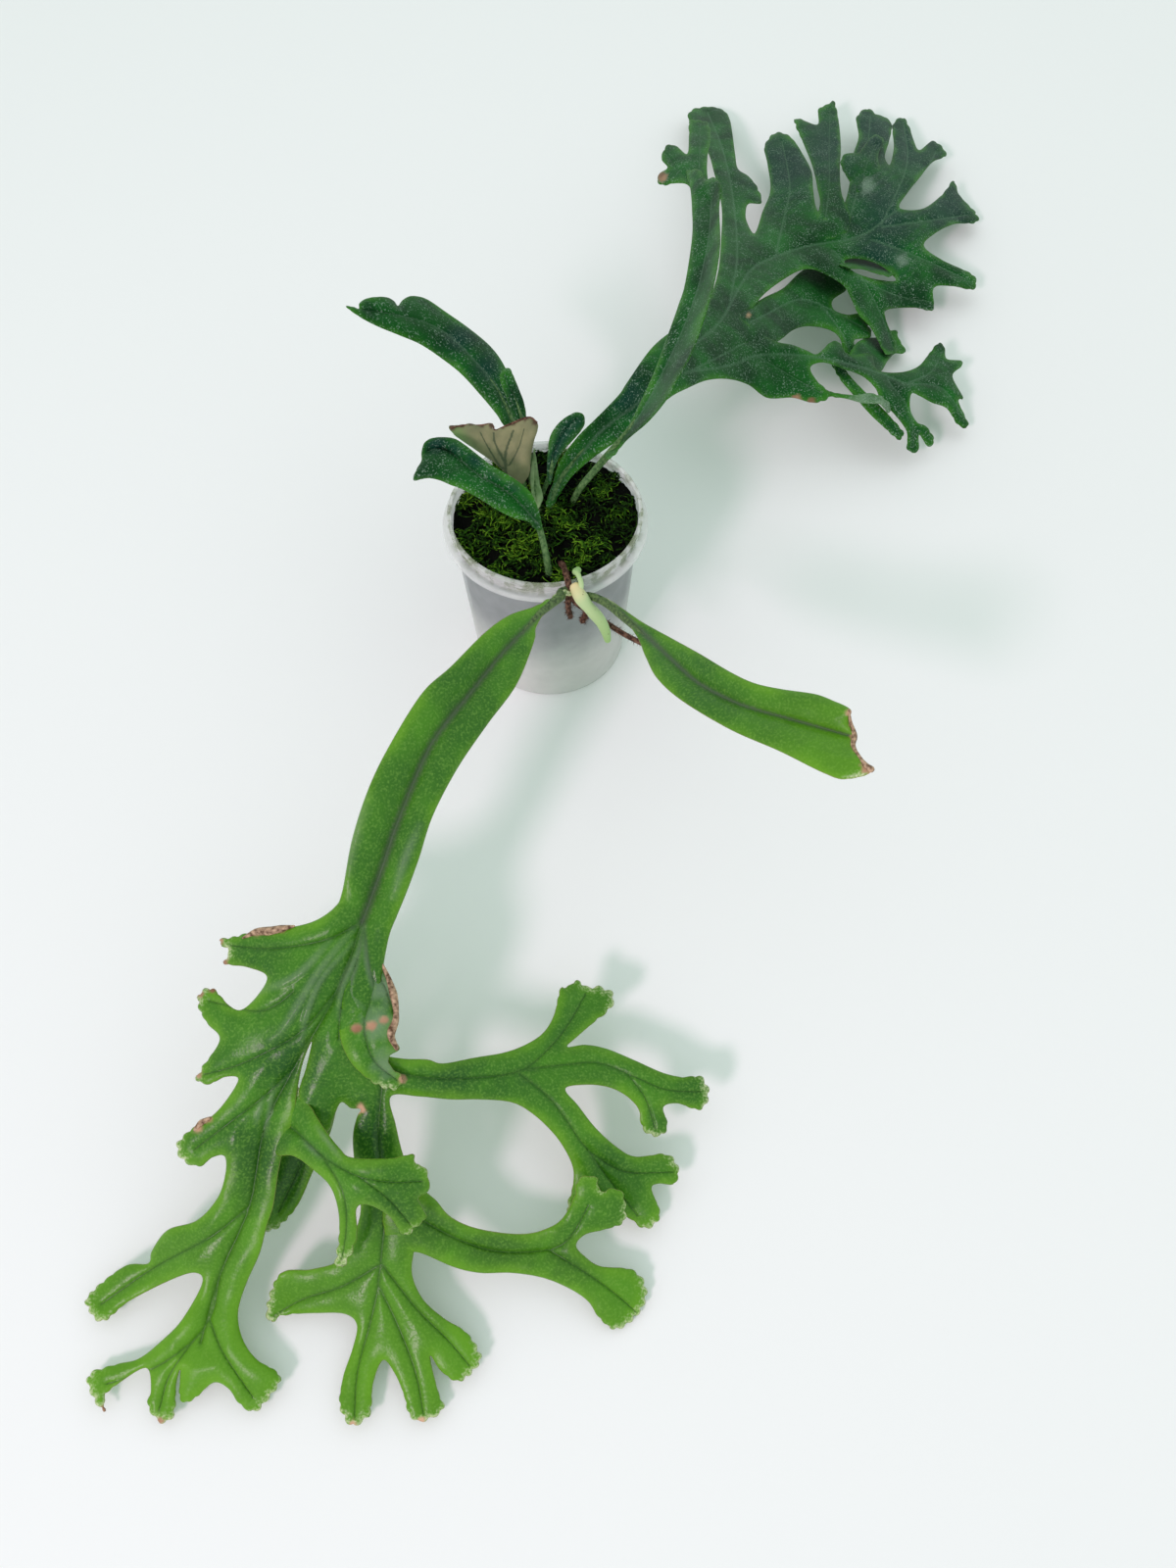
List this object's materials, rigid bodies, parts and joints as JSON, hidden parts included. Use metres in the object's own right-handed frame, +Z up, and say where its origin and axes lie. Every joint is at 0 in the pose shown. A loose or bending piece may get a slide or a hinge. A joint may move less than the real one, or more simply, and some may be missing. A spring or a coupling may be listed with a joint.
{
  "type": "potted crested polypodium fern",
  "caption": "Crested strap fern in a small translucent nursery pot with moss; stands free on its flat base, with forked frond ends lying on the surface.",
  "frame": {"origin": "centre of the pot's underside, on the surface that the pot stands on", "axes": "+Z up along the pot's axis, -Y towards the front, where the large bright frond and the growing tip hang over the rim, +X to the right"},
  "size_m": [0.4277, 0.8006, 0.1591],
  "materials": {
    "pot_plastic": "moulded frosted translucent plastic, satin",
    "drainage": "pale coarse granules, dull",
    "substrate": "damp dark bark mix, dull",
    "moss": "living moss, soft and tufted",
    "rhizome_bark": "brown scaly stem and roots, rough",
    "rhizome_tip": "smooth pale green growing tip, satin",
    "fresh_blade": "leathery fresh green blade, satin to glossy",
    "mature_blade": "dark blue-green blade with pale scurf, satin",
    "dry_blade": "dry tan blade with dark veins, dull",
    "young_blade": "young grey-green blade, satin"
  },
  "bodies": {
    "root": {"pot": "pot_plastic", "drainage_layer": "drainage", "substrate": "substrate", "moss_mat": "moss", "rhizome": "rhizome_bark", "rhizome_tip": "rhizome_tip", "frond_front_crested": "fresh_blade", "frond_right_cut": "fresh_blade", "frond_rear_crested": "mature_blade", "frond_rear_folded": "mature_blade", "frond_upper_left": "mature_blade", "frondlet_beside": "mature_blade", "frond_left_small": "mature_blade", "frondlet_round": "mature_blade", "frond_cut_brown": "dry_blade", "frondlet_young": "young_blade"}
  },
  "joints": []
}
